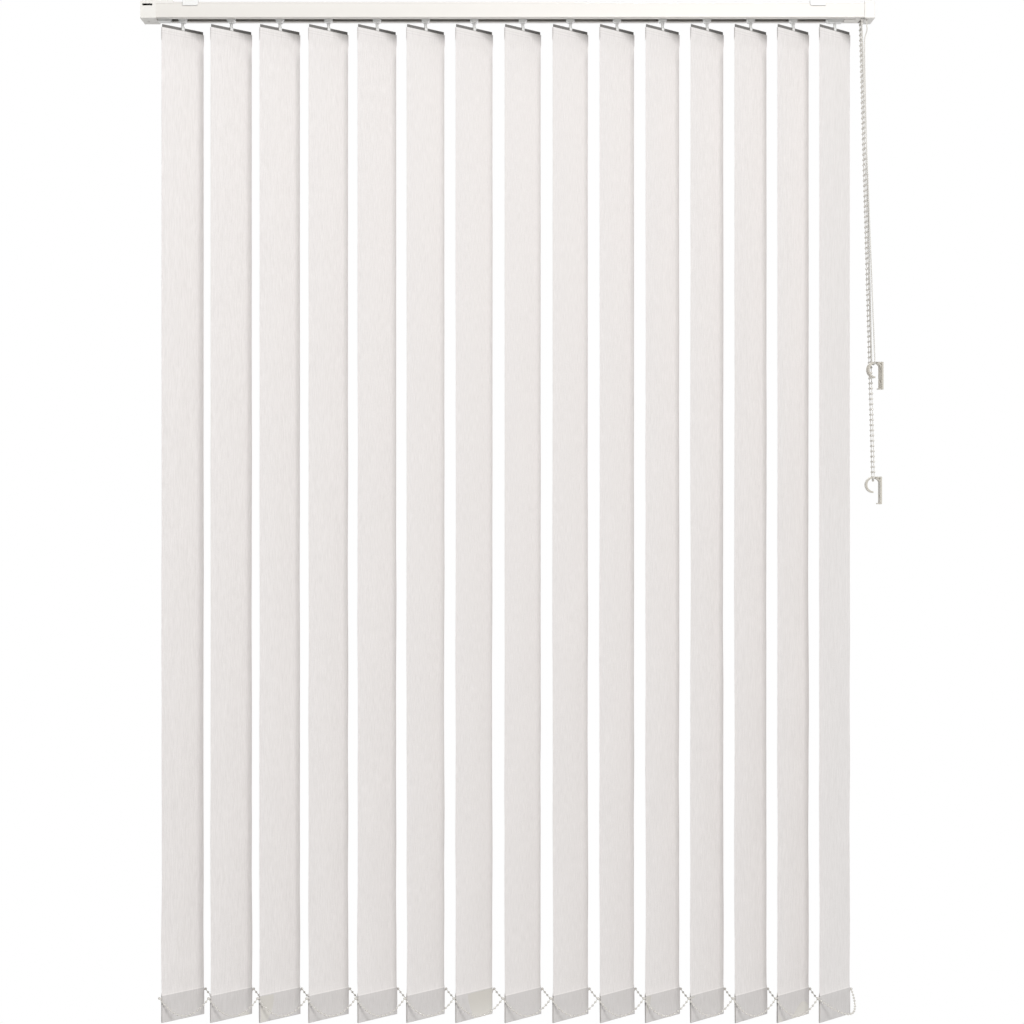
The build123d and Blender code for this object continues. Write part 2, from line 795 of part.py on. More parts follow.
os.makedirs("parts", exist_ok=True)
save("headrail", headrail())
save("idler_end_cap", idler_end_cap())
save("control_end_cap", control_end_cap())
save("mounting_brackets", [bracket(bracket_x[0], 1), bracket(bracket_x[1], -1)])
save("idler_pulley", pulley(idler_r, idler_x, cord_low + idler_r))
save("low_cord_pulley", pulley(pulley_r, *pulley_places()[0]))
save("high_cord_pulley", pulley(pulley_r, *pulley_places()[1]))
save("tilt_rod", tilt_rod())
save("chain_wheel", chain_wheel())
save("rail_cord", rail_cord())
save("draw_cord", draw_cord())
save("bead_chain", bead_chain())
save("cord_clips", cord_clips())
save("front_stabiliser_chain", stabiliser_chain(-1))
save("rear_stabiliser_chain", stabiliser_chain(1))
for number in range(slat_count):
    save(f"carrier_{number + 1:02d}", carrier(number))
    save(f"stem_{number + 1:02d}", stem(stem_x[number]))
    save(f"slat_{number + 1:02d}", slat(number))
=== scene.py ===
import json
import math

import bmesh
import bpy
from mathutils import Matrix, Vector


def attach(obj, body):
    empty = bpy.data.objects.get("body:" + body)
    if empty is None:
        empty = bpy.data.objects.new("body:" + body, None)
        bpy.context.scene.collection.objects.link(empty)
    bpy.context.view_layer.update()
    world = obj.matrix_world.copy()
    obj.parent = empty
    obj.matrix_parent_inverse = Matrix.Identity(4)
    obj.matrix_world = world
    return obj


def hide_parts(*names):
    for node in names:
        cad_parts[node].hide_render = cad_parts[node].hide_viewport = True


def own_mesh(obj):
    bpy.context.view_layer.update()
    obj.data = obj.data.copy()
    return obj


# A vertical blind: fabric slats on carriers in a headrail, with its draw cord and bead chain.
# Metres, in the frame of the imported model: X along the rail, Y towards the window, Z up.

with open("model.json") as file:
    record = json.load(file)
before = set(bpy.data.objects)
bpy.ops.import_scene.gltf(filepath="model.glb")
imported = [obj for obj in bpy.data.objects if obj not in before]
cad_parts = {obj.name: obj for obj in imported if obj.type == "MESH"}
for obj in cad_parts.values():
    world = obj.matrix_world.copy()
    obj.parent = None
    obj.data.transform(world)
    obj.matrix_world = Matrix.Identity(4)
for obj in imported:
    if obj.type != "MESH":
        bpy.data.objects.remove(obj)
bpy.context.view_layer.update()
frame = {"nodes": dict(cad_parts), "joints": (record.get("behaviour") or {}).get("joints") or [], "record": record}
scene = bpy.context.scene
joints = {joint["name"]: joint for joint in frame["joints"]}

# Slats, their hems and the weight in the lower one
slat_count = 15
numbers = [f"{n + 1:02d}" for n in range(slat_count)]
slat_width = 0.089
slat_turn = math.radians(47.5)
slat_top = -0.0417
slat_bottom = -1.693
fabric = 0.0004
hanger_thick = 0.0014
hanger_high = 0.022
hanger_shows = 0.005
weight_thick = 0.0018
bottom_hem = 0.045
hem_slope = 0.0045
hem_ease = 0.0003
pocket_gap = 0.0001
flap_gap = 0.0001
cloth_step = 0.012
cloth_columns = 14

# Ripple of the fabric: its height, where it starts below the top, and its waves per metre
ripple = 0.0016
ripple_from = 0.05
ripple_waves = (9.0, 0.0, 5.0)

# Hooks of the weights and the chains between them
hook_reach = 0.0046
hook_tip = 0.0012
hook_high = 0.0032
barrel_r = 0.0023
barrel_high = 0.0046
hook_z = -1.6515
hook_at = slat_width / 2 + hook_reach
chain_sag = 0.029
end_link_out = 0.032
strand_bead = 0.0038
strand_bead_gap = 0.0068
strand_thread = 0.0012
strand_points = 41

# Edges that turn by more than this shade as sharp
sharp_angle = math.radians(50)

# Places along the rail, from the joints of the frame
stem_x = [joints[f"slat_{n}_tilt"]["pos_m"][0] for n in numbers]


# Nodes: a short way to write geometry trees and materials
def link(tree, source, node, socket):
    """Sets a node's input to another node's output, or to a plain value."""
    if isinstance(source, bpy.types.NodeSocket):
        tree.links.new(source, node.inputs[socket])
    else:
        node.inputs[socket].default_value = source


def add(tree, kind, inputs=(), **settings):
    """A node of the given kind with its settings and inputs."""
    node = tree.nodes.new(kind)
    for key, value in settings.items():
        setattr(node, key, value)
    for socket, source in dict(inputs).items():
        link(tree, source, node, socket)
    return node


def maths(tree, operation, *values):
    node = add(tree, "ShaderNodeMath", dict(enumerate(values)), operation=operation)
    return node.outputs[0]


def geometry_tree(name, sockets):
    """An empty geometry tree with named inputs, and its input and output nodes."""
    tree = bpy.data.node_groups.new(name, "GeometryNodeTree")
    tree.interface.new_socket("Geometry", in_out="OUTPUT", socket_type="NodeSocketGeometry")
    for label, kind in sockets.items():
        tree.interface.new_socket(label, in_out="INPUT", socket_type="NodeSocket" + kind)
    return tree, tree.nodes.new("NodeGroupInput"), tree.nodes.new("NodeGroupOutput")


def end_tree(tree, end, geometry, material):
    """Every tree ends in real, smooth mesh with its material."""
    real = add(tree, "GeometryNodeRealizeInstances", {0: geometry})
    smooth = add(tree, "GeometryNodeSetShadeSmooth", {0: real.outputs[0]})
    painted = add(tree, "GeometryNodeSetMaterial", {0: smooth.outputs[0], "Material": material})
    tree.links.new(painted.outputs[0], end.inputs[0])


def put(name, mesh):
    piece = bpy.data.objects.new(name, mesh)
    scene.collection.objects.link(piece)
    return piece


def plain_mesh(host):
    """The host's final mesh; the host itself is taken away."""
    depsgraph = bpy.context.evaluated_depsgraph_get()
    mesh = bpy.data.meshes.new_from_object(host.evaluated_get(depsgraph))
    bpy.data.objects.remove(host)
    return mesh


def grown(name, tree, values, start=None, solid=0.0):
    """The plain mesh that a geometry tree grows from its values, or from a starting mesh.

    A solid thickness, where given, is laid on both sides of it."""
    host = put(name + "_host", start if start else bpy.data.meshes.new(name + "_host"))
    grower = host.modifiers.new("grow", "NODES")
    grower.node_group = tree
    for item in tree.interface.items_tree:
        if item.in_out == "INPUT" and item.name in values:
            grower[item.identifier] = values[item.name]
    if solid:
        shell = host.modifiers.new("thickness", "SOLIDIFY")
        shell.thickness = solid
        shell.offset = 0
        shell.use_even_offset = True
    mesh = plain_mesh(host)
    if solid:
        mesh.set_sharp_from_angle(angle=sharp_angle)
    return put(name, mesh)


# Materials
warp_spacing = 0.0011
weft_spacing = 0.0009
thread_wander = 0.0012
seam_depths = (0.0105, 0.0145)
seam_wide = 0.0009
braid_pitch = 0.003
braid_across = 0.0022


def material(name, colour, roughness, **sockets):
    """A principled material; further sockets are set by name."""
    made = bpy.data.materials.new(name)
    made.use_nodes = True
    shader = made.node_tree.nodes["Principled BSDF"]
    shader.inputs["Base Color"].default_value = (*colour, 1)
    shader.inputs["Roughness"].default_value = roughness
    for label, value in sockets.items():
        shader.inputs[label.replace("_", " ")].default_value = value
    return made, made.node_tree, shader


def object_place(tree, turn=0.0):
    """The piece's own coordinates, turned about the vertical."""
    place = add(tree, "ShaderNodeTexCoord").outputs["Object"]
    mapping = add(tree, "ShaderNodeMapping", {"Vector": place, "Rotation": (0, 0, -turn)})
    return mapping.outputs[0]


def noise(tree, place, scale, detail=3.0, roughness=0.5):
    inputs = {"Vector": place, "Scale": scale, "Detail": detail, "Roughness": roughness}
    return add(tree, "ShaderNodeTexNoise", inputs).outputs["Fac"]


def drawn_lines(tree, place, scales):
    """Noise that is finer along some directions than along others."""
    stretch = add(tree, "ShaderNodeMapping", {"Vector": place, "Scale": scales})
    return noise(tree, stretch.outputs[0], 1.0, 2.0)


def ranged(tree, value, low, high, to_low, to_high):
    inputs = {0: value, 1: low, 2: high, 3: to_low, 4: to_high}
    return add(tree, "ShaderNodeMapRange", inputs).outputs[0]


def line_at(tree, value, centre, wide):
    """A soft line where a value passes its centre."""
    away = maths(tree, "ABSOLUTE", maths(tree, "SUBTRACT", value, centre))
    return ranged(tree, away, 0.0, wide, 1.0, 0.0)


def weighed(tree, *parts):
    """The sum of two values, each by its weight."""
    (first, first_weight), (second, second_weight) = parts
    return maths(tree, "ADD", maths(tree, "MULTIPLY", first, first_weight),
                 maths(tree, "MULTIPLY", second, second_weight))


def shade(tree, shader, factor, dark, light):
    """Colours the shader between two tones."""
    mix = add(tree, "ShaderNodeMix", data_type="RGBA")
    link(tree, factor, mix, 0)
    mix.inputs[6].default_value = (*dark, 1)
    mix.inputs[7].default_value = (*light, 1)
    tree.links.new(mix.outputs[2], shader.inputs["Base Color"])
    return mix


def bump(tree, shader, height, strength, distance):
    inputs = {"Height": height, "Strength": strength, "Distance": distance}
    node = add(tree, "ShaderNodeBump", inputs)
    tree.links.new(node.outputs[0], shader.inputs["Normal"])


def plastic(name, colour, roughness, grain, depth, coat):
    """Moulded plastic: a faint cloud in its tone and a fine grain."""
    made, tree, shader = material(name, colour, roughness, Coat_Weight=coat)
    place = object_place(tree)
    cloud = noise(tree, place, 18.0, 4.0)
    dark = tuple(c * 0.965 for c in colour)
    shade(tree, shader, cloud, dark, colour)
    fine = noise(tree, place, grain, 2.0)
    rough = ranged(tree, fine, 0.3, 0.7, roughness - 0.05, roughness + 0.06)
    tree.links.new(rough, shader.inputs["Roughness"])
    bump(tree, shader, fine, 0.3, depth)
    return made


def rail_paint():
    """Satin paint with a faint orange peel, and draw lines of the extrusion along the rail."""
    made, tree, shader = material("rail_paint", (0.72, 0.695, 0.66), 0.42, Coat_Weight=0.1)
    place = object_place(tree)
    lines = drawn_lines(tree, place, (0.6, 900.0, 900.0))
    peel = noise(tree, place, 900.0, 2.0)
    cloud = noise(tree, place, 3.0, 3.0)
    shade(tree, shader, cloud, (0.705, 0.68, 0.642), (0.735, 0.71, 0.676))
    bump(tree, shader, weighed(tree, (lines, 0.6), (peel, 0.4)), 0.25, 0.00004)
    return made


def hem_tone_and_painted_light(tree):
    """How much the fabric's tone is lowered: the lower hem lies double with its weight and is darker, under
    a painted highlight along its fold; the top hem has two faint seams, and painted shade of the rail towards the
    window."""
    place = add(tree, "ShaderNodeAttribute", attribute_name="flat_place").outputs["Vector"]
    split = add(tree, "ShaderNodeSeparateXYZ", {0: place})
    across, up = split.outputs[0], split.outputs[2]
    # How much darker the pocket and the seams are, the depth of the painted shade, and the painted highlight on
    # the fold
    pocket_dense, seam_dense, painted_shade_depth, painted_fold_highlight = 0.95, 0.55, 0.6, 0.5
    pocket_top = slat_bottom + bottom_hem
    edge_soft = 0.0004
    pocket = ranged(tree, up, pocket_top + edge_soft, pocket_top - edge_soft, 0.0, pocket_dense)
    # Painted highlight: a lighter line along the fold where the pocket steps out
    fold_up, fold_wide = 0.001, 0.0012
    fold = line_at(tree, up, pocket_top + fold_up, fold_wide)
    seams = [line_at(tree, up, slat_top - depth, seam_wide) for depth in seam_depths]
    seams = maths(tree, "MULTIPLY", maths(tree, "MAXIMUM", *seams), seam_dense)
    # Painted shade: the top of the slat's far side is painted darker, as the rail's shade on it
    shade_from, shade_full = 0.01, 0.045
    far_side = ranged(tree, across, shade_from, shade_full, 0.0, painted_shade_depth)
    shade_low, shade_high = slat_top - 0.024, slat_top - 0.01
    near_top = ranged(tree, up, shade_low, shade_high, 0.0, 1.0)
    dense_and_shade = maths(tree, "MAXIMUM", pocket, seams)
    dense_and_shade = maths(tree, "MAXIMUM", dense_and_shade, maths(tree, "MULTIPLY", far_side, near_top))
    return maths(tree, "SUBTRACT", dense_and_shade, maths(tree, "MULTIPLY", fold, painted_fold_highlight))


def slat_fabric():
    """Stiffened fabric: fine warp and weft threads, with thicker ones here and there."""
    made, tree, shader = material("slat_fabric", (0.8, 0.775, 0.76), 0.85, Sheen_Weight=0.2)
    shader.inputs["Sheen Roughness"].default_value = 0.6
    place = object_place(tree, slat_turn)
    turned = add(tree, "ShaderNodeSeparateXYZ", {0: place}).outputs
    drift = noise(tree, place, 60.0, 2.0)
    threads = []
    for line, spacing in ((turned[0], warp_spacing), (turned[2], weft_spacing)):
        wander = maths(tree, "MULTIPLY_ADD", drift, thread_wander, line)
        threads.append(maths(tree, "SINE", maths(tree, "MULTIPLY", wander, 2 * math.pi / spacing)))
    weave = maths(tree, "MULTIPLY", *threads)
    slubs = drawn_lines(tree, place, (900.0, 1.0, 60.0))
    grain = noise(tree, place, 1400.0, 2.0)
    height = maths(tree, "ADD", maths(tree, "MULTIPLY", weave, 0.4), maths(tree, "ADD", slubs, grain))
    bump(tree, shader, height, 0.35, 0.0001)
    tone = ranged(tree, weighed(tree, (slubs, 0.5), (grain, 0.5)), 0.3, 0.7, 0.0, 1.0)
    cloth = shade(tree, shader, tone, (0.69, 0.662, 0.645), (0.85, 0.822, 0.81))
    # The level holds the darker double hems, the painted shade of the rail and the painted highlight on the
    # pocket's fold
    level = ranged(tree, hem_tone_and_painted_light(tree), -0.5, 1.0, 1.1, 0.8)
    toned = add(tree, "ShaderNodeVectorMath", {0: cloth.outputs[2], "Scale": level}, operation="SCALE")
    tree.links.new(toned.outputs[0], shader.inputs["Base Color"])
    return made


def cord_braid():
    """Braided cord: two sets of strands that cross as they wind round, with painted shade in the grooves between
    them.
    """
    made, tree, shader = material("cord_braid", (0.7, 0.68, 0.64), 0.7, Sheen_Weight=0.3)
    split = add(tree, "ShaderNodeSeparateXYZ", {0: object_place(tree)}).outputs
    along = maths(tree, "MULTIPLY", maths(tree, "ADD", split[0], split[2]), 2 * math.pi / braid_pitch)
    strands = []
    for hand in (1, -1):
        turns = maths(tree, "MULTIPLY_ADD", split[1], hand * 2 * math.pi / braid_across, along)
        strands.append(maths(tree, "SINE", turns))
    braid = maths(tree, "MAXIMUM", *strands)
    bump(tree, shader, braid, 0.6, 0.00012)
    # Painted shade and highlight: the grooves between the strands are painted darker and their crowns lighter
    height = ranged(tree, braid, -0.6, 1.0, 0.0, 1.0)
    shade(tree, shader, height, (0.46, 0.44, 0.4), (0.74, 0.72, 0.68))
    return made


def rod_metal():
    """Aluminium with the drawing lines along it."""
    made, tree, shader = material("rod_metal", (0.78, 0.79, 0.8), 0.32, Metallic=1.0)
    lines = drawn_lines(tree, object_place(tree), (4.0, 1500.0, 1500.0))
    bump(tree, shader, lines, 0.3, 0.00003)
    shade(tree, shader, lines, (0.7, 0.71, 0.72), (0.82, 0.83, 0.84))
    return made


# Moulded plastics: colour, roughness, fineness and depth of the grain, and clear coat
mouldings = (
    ("cap_plastic", (0.77, 0.75, 0.715), 0.45, 1100.0, 0.00004, 0.0),
    ("bracket_plastic", (0.81, 0.81, 0.795), 0.3, 900.0, 0.00002, 0.0),
    ("pulley_plastic", (0.83, 0.83, 0.81), 0.3, 900.0, 0.00002, 0.0),
    # Painted shade: the chains' and weights' white plastic is given a darker grey-beige, for the shade on the
    # small beads
    ("chain_plastic", (0.66, 0.635, 0.59), 0.22, 1500.0, 0.00001, 0.3),
    ("clip_plastic", (0.56, 0.53, 0.47), 0.38, 900.0, 0.00001, 0.2),
    ("carrier_plastic", (0.88, 0.88, 0.865), 0.4, 1000.0, 0.00004, 0.0),
    ("stem_plastic", (0.84, 0.84, 0.825), 0.35, 1000.0, 0.00003, 0.0),
    # Painted shade: the hanger's grey plastic is painted much darker, as the shade under the rail
    ("hanger_plastic_in_painted_shade", (0.19, 0.184, 0.176), 0.3, 1000.0, 0.00003, 0.0),
)
finishes = {look[0]: plastic(*look) for look in mouldings}
finishes["rail_paint"] = rail_paint()
finishes["rod_aluminium"] = rod_metal()
finishes["cord_braid"] = cord_braid()
finishes["slat_fabric"] = slat_fabric()


def finish_with(piece, slot, finish=None):
    """Gives a piece its finish, which is the slot's own unless another is named."""
    piece.data.materials.clear()
    piece.data.materials.append(finishes[finish or slot])


# Camera at the photograph's angle, with the horizon 12 pixels above its middle
frame_pixels = 1024
camera_height = -0.8285
camera_side = 0.013
camera_distance = 3.69
focal_pixels = 2213
horizon_above_middle = 12


def camera():
    lens = bpy.data.cameras.new("camera")
    lens.sensor_width = 36.0
    lens.lens = focal_pixels * lens.sensor_width / frame_pixels
    lens.shift_y = -horizon_above_middle / frame_pixels
    lens.clip_end = 60.0
    eye = bpy.data.objects.new("camera", lens)
    eye.location = (camera_side, -camera_distance, camera_height)
    eye.rotation_euler = (math.radians(90), 0, 0)
    scene.collection.objects.link(eye)
    scene.camera = eye


camera()


# Slats
def spaced(points, step):
    """The same line with more points on its long runs."""
    out = [points[0]]
    for start, end in zip(points, points[1:]):
        run = Vector(end) - Vector(start)
        count = max(1, round(run.length / step))
        out += [tuple(Vector(start) + run * (n / count)) for n in range(1, count + 1)]
    return out


def line_mesh(lines):
    """Open lines of (out, up) points as a mesh of edges, the way a profile is laid along a line."""
    mesh = bpy.data.meshes.new("lines")
    points, edges = [], []
    for line in lines:
        first = len(points)
        points += [(-out, -up, 0) for out, up in line]
        edges += [(n, n + 1) for n in range(first, len(points) - 1)]
    mesh.from_pydata(points, edges, [])
    return mesh


def slat_section():
    """The fabric seen end on: the long sheet with its lower hem, and the back of the top hem."""
    layer = fabric / 2
    top = slat_top - hanger_shows
    top_out = hanger_thick / 2 + pocket_gap + layer
    hem_floor = slat_top - hanger_high - hem_ease
    low_out = weight_thick / 2 + pocket_gap + layer
    hem_top = slat_bottom + bottom_hem
    fold_z = slat_bottom + low_out + layer
    turns = [math.pi * n / 8 for n in range(9)]
    fold = [(-low_out * math.cos(a), fold_z - low_out * math.sin(a)) for a in turns]
    front = [(-top_out, top), (-top_out, hem_floor), (0, hem_floor - hem_slope)]
    pocket = [(0, hem_top + hem_slope), (-low_out, hem_top), fold[0]]
    behind = 2 * layer + flap_gap
    back = [fold[-1], (low_out, hem_top), (behind, hem_top + hem_slope)]
    sheet = spaced(front + pocket, cloth_step)[:-1] + fold + spaced(back, cloth_step)[1:]
    flap = [(top_out, top), (top_out, hem_floor), (behind, hem_floor - hem_slope)]
    return [sheet, spaced(flap, cloth_step)]


def slat_tree():
    """Draws the section out across the slat's width, ripples it, then turns it and puts it in place."""
    sockets = {"Section": "Geometry", "Width": "Float", "Steps": "Int", "Ripple": "Float",
               "Seed": "Float", "Turn": "Float", "Place": "Vector", "Material": "Material"}
    tree, start, end = geometry_tree("slat", sockets)
    given = start.outputs
    half = maths(tree, "MULTIPLY", given["Width"], 0.5)
    left = add(tree, "ShaderNodeCombineXYZ", {"X": maths(tree, "MULTIPLY", half, -1.0)})
    right = add(tree, "ShaderNodeCombineXYZ", {"X": half})
    line = add(tree, "GeometryNodeCurvePrimitiveLine", {"Start": left.outputs[0], "End": right.outputs[0]})
    steps = add(tree, "GeometryNodeResampleCurve", {"Curve": line.outputs[0], "Count": given["Steps"]})
    upright = add(tree, "GeometryNodeSetCurveNormal", {"Curve": steps.outputs[0]}, mode="Z_UP")
    profile = add(tree, "GeometryNodeMeshToCurve", {"Mesh": given["Section"]})
    inputs = {"Curve": upright.outputs[0], "Profile Curve": profile.outputs[0]}
    drawn = add(tree, "GeometryNodeCurveToMesh", inputs)
    # Each point keeps its place on the flat slat, for the tones of the hems and the painted shade and highlight on
    # them
    place = add(tree, "GeometryNodeInputPosition").outputs[0]
    kept = {"Geometry": drawn.outputs[0], "Name": "flat_place", "Value": place}
    marked = add(tree, "GeometryNodeStoreNamedAttribute", kept, data_type="FLOAT_VECTOR")
    # The ripple grows towards the foot and dies out at the top hem; its noise swings by a quarter
    noise_gain = 4.0
    up = add(tree, "ShaderNodeSeparateXYZ", {0: place}).outputs[2]
    share = ranged(tree, up, slat_top - ripple_from, slat_bottom, 0.0, 1.0)
    wide = add(tree, "ShaderNodeVectorMath", {0: place, 1: ripple_waves}, operation="MULTIPLY")
    inputs = {"Vector": wide.outputs[0], "W": given["Seed"], "Scale": 1.0, "Detail": 1.0}
    wave = add(tree, "ShaderNodeTexNoise", inputs, noise_dimensions="4D")
    centred = maths(tree, "SUBTRACT", wave.outputs[0], 0.5)
    size = maths(tree, "MULTIPLY", maths(tree, "MULTIPLY", centred, share), given["Ripple"])
    shift = add(tree, "ShaderNodeCombineXYZ", {"Y": maths(tree, "MULTIPLY", size, noise_gain)})
    inputs = {"Geometry": marked.outputs[0], "Offset": shift.outputs[0]}
    rippled = add(tree, "GeometryNodeSetPosition", inputs)
    turn = add(tree, "ShaderNodeCombineXYZ", {"Z": given["Turn"]})
    inputs = {"Geometry": rippled.outputs[0], "Translation": given["Place"], "Rotation": turn.outputs[0]}
    placed = add(tree, "GeometryNodeTransform", inputs)
    end_tree(tree, end, placed.outputs[0], given["Material"])
    return tree


def slats():
    """One hung sheet of fabric on each stem."""
    tree = slat_tree()
    section = slat_section()
    first_seed, seed_step = 3.0, 1.7
    for n, number in enumerate(numbers):
        values = {"Width": slat_width, "Steps": cloth_columns, "Ripple": ripple,
                  "Seed": first_seed + seed_step * n, "Turn": slat_turn, "Place": (stem_x[n], 0, 0),
                  "Material": finishes["slat_fabric"]}
        piece = grown(f"slat_sheet_{number}", tree, values, line_mesh(section), fabric)
        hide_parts(f"slat_{number}")
        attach(piece, f"slat_{number}")


# Weights, stems and hangers
def soften_edges(shape, edges, offset):
    bmesh.ops.bevel(shape, geom=edges, offset=offset, segments=2, affect="EDGES", clamp_overlap=True)


def sharp_edges(shape, angle):
    """The edges between two faces that turn by more than the angle."""
    return [e for e in shape.edges if len(e.link_faces) == 2 and e.calc_face_angle(0) > angle]


def flat_plate(outline, thick, soften):
    """A plate from its outline of (across, up) points, with softened edges."""
    shape = bmesh.new()
    corners = [shape.verts.new((x, -thick / 2, z)) for x, z in outline]
    face = shape.faces.new(corners)
    drawn = bmesh.ops.extrude_face_region(shape, geom=[face])
    moved = [v for v in drawn["geom"] if isinstance(v, bmesh.types.BMVert)]
    bmesh.ops.translate(shape, verts=moved, vec=(0, thick, 0))
    bmesh.ops.recalc_face_normals(shape, faces=shape.faces)
    soften_edges(shape, list(shape.edges), soften)
    return shape


def lathe(profile, sides, hollow=False):
    """A round body from (radius, up) points, closed at both ends; a hollow one's profile is a loop."""
    shape = bmesh.new()
    turns = [2 * math.pi * n / sides for n in range(sides)]
    rings = [[shape.verts.new((radius * math.cos(a), radius * math.sin(a), z)) for a in turns]
             for radius, z in profile]
    following = rings[1:] + rings[:1] if hollow else rings[1:]
    for low, high in zip(rings, following):
        for n in range(sides):
            after = (n + 1) % sides
            shape.faces.new((low[n], low[after], high[after], high[n]))
    if not hollow:
        shape.faces.new(rings[0])
        shape.faces.new(rings[-1])
    bmesh.ops.recalc_face_normals(shape, faces=shape.faces)
    return shape


def box_shape(low, high, soften):
    """A box between two corners, with softened edges."""
    shape = bmesh.new()
    bmesh.ops.create_cube(shape, size=1.0)
    size = Vector(high) - Vector(low)
    middle = (Vector(high) + Vector(low)) / 2
    shape.transform(Matrix.Translation(middle) @ Matrix.Diagonal((*size, 1)))
    soften_edges(shape, list(shape.edges), soften)
    return shape


def evenly_shaded(name, mesh):
    """A piece with round edges and sides that shade flat."""
    mesh.shade_smooth()
    mesh.set_sharp_from_angle(angle=sharp_angle)
    host = put(name + "_host", mesh)
    host.modifiers.new("even", "WEIGHTED_NORMAL").keep_sharp = True
    return put(name, plain_mesh(host))


def joined(name, shapes, place=(0, 0, 0), turn=0.0):
    """One mesh piece from several shapes, turned and put in place; flat sides stay flat."""
    mesh = bpy.data.meshes.new(name)
    whole = bmesh.new()
    for shape in shapes:
        part = bpy.data.meshes.new("part")
        shape.to_mesh(part)
        whole.from_mesh(part)
        bpy.data.meshes.remove(part)
    whole.transform(Matrix.Translation(place) @ Matrix.Rotation(turn, 4, "Z"))
    whole.to_mesh(mesh)
    whole.free()
    return evenly_shaded(name, mesh)


def weight_outline():
    """Half of the weight's plate with its upturned hook, then the other half mirrored."""
    margin, arm = 0.0015, 0.0012
    half = slat_width / 2
    low = slat_bottom + fabric + pocket_gap
    high = slat_bottom + bottom_hem - margin
    reach = hook_at + hook_tip
    low_hook = hook_z - hook_high / 2
    right = [
        (half - margin, low),
        (half - margin, low_hook),
        (reach, low_hook),
        (reach, low_hook + hook_high),
        (reach - arm, low_hook + hook_high),
        (reach - arm, low_hook + arm),
        (half + arm, low_hook + arm),
        (half - margin, high),
    ]
    return right + [(-x, z) for x, z in reversed(right)]


def hook_barrel(x):
    """The rounded end of a hook, that keeps its chain from slipping off."""
    turns = [math.radians(a) for a in range(-75, 76, 25)]
    rounded = [(barrel_r * math.cos(a), hook_z + barrel_high / 2 * math.sin(a)) for a in turns]
    barrel = lathe(rounded, sides=16)
    bmesh.ops.translate(barrel, verts=barrel.verts, vec=(x, 0, 0))
    return barrel


def weights():
    for n, number in enumerate(numbers):
        plate = flat_plate(weight_outline(), weight_thick, soften=0.0003)
        shapes = [plate, hook_barrel(hook_at), hook_barrel(-hook_at)]
        piece = joined(f"slat_weight_{number}", shapes, (stem_x[n], 0, 0), slat_turn)
        finish_with(piece, "chain_plastic")
        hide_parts(f"slat_{number}")
        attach(piece, f"slat_{number}")


stem_r = 0.0025
gear_r, gear_teeth, gear_thick = 0.0055, 16, 0.004
gear_z = -0.0155
jaw_wide, jaw_high, jaw_thick = 0.006, 0.0045, 0.001
jaw_in = hanger_thick / 2 + 0.00005
jaw_out = jaw_in + jaw_thick


def worm_wheel():
    """The toothed wheel on a stem's top: a round body whose sides are drawn in between the teeth."""
    tooth_end, tooth_share = 0.0007, 0.11
    side, face = gear_thick / 4, gear_thick / 2
    gear = lathe([(gear_r - tooth_end, gear_z - face), (gear_r, gear_z - side),
                  (gear_r, gear_z + side), (gear_r - tooth_end, gear_z + face)], sides=4 * gear_teeth)
    for vert in gear.verts:
        angle = math.atan2(vert.co.y, vert.co.x)
        pull = 1 - tooth_share * (1 - math.cos(gear_teeth * angle))
        vert.co.x *= pull
        vert.co.y *= pull
    return gear


def clip_shapes():
    """The stem's shaft with its waist, and below it the bridge and the two jaws of its clip."""
    bridge_low, bridge_high = slat_top + 0.0002, slat_top + 0.0017
    waist = stem_r - 0.0003
    neck = [(stem_r, 0.003), (waist, 0.0027), (waist, 0.0012), (stem_r, 0.0009), (stem_r, -0.0002)]
    above = [(radius, bridge_high + up) for radius, up in neck]
    shaft = lathe([(stem_r, gear_z - gear_thick / 2), *above], sides=24)
    half = jaw_wide / 2
    bridge = box_shape((-half, -jaw_out, bridge_low), (half, jaw_out, bridge_high), soften=0.0003)
    jaw_low, jaw_root = slat_top - jaw_high, slat_top + 0.0006
    jaws = [box_shape((-half, near, jaw_low), (half, far, jaw_root), soften=0.0002)
            for near, far in ((jaw_in, jaw_out), (-jaw_out, -jaw_in))]
    return [shaft, bridge, *jaws]


def hanger_strip():
    """The strip in the top hem, a little narrower than the fabric."""
    inset = 0.0012
    half = slat_width / 2 - inset
    side = hanger_thick / 2
    return box_shape((-half, -side, slat_top - hanger_high), (half, side, slat_top), soften=0.0004)


def stems():
    for n, number in enumerate(numbers):
        shapes = [worm_wheel(), *clip_shapes()]
        piece = joined(f"stem_and_jaws_{number}", shapes, (stem_x[n], 0, 0), slat_turn)
        finish_with(piece, "stem_plastic")
        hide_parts(f"stem_{number}")
        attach(piece, f"slat_{number}")
        # The hanger's finish carries the painted shade of the rail
        hanger = joined(f"hanger_{number}", [hanger_strip()], (stem_x[n], 0, 0), slat_turn)
        finish_with(hanger, "stem_plastic", "hanger_plastic_in_painted_shade")
        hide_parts(f"stem_{number}")
        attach(hanger, f"slat_{number}")


# Chains and cords
def beaded(tree, curve, bead, gap, thread):
    """Beads at even steps along a curve, on a thread."""
    thread_r, bead_r = (maths(tree, "MULTIPLY", wide, 0.5) for wide in (thread, bead))
    ring = add(tree, "GeometryNodeCurvePrimitiveCircle", {"Resolution": 6, "Radius": thread_r})
    cord = add(tree, "GeometryNodeCurveToMesh", {"Curve": curve, "Profile Curve": ring.outputs[0]})
    steps = add(tree, "GeometryNodeResampleCurve", {"Curve": curve, "Length": gap}, mode="LENGTH")
    ball = add(tree, "GeometryNodeMeshUVSphere", {"Segments": 10, "Rings": 7, "Radius": bead_r})
    inputs = {"Points": steps.outputs[0], "Instance": ball.outputs[0]}
    balls = add(tree, "GeometryNodeInstanceOnPoints", inputs)
    both = add(tree, "GeometryNodeJoinGeometry")
    tree.links.new(cord.outputs[0], both.inputs[0])
    tree.links.new(balls.outputs[0], both.inputs[0])
    return both.outputs[0]


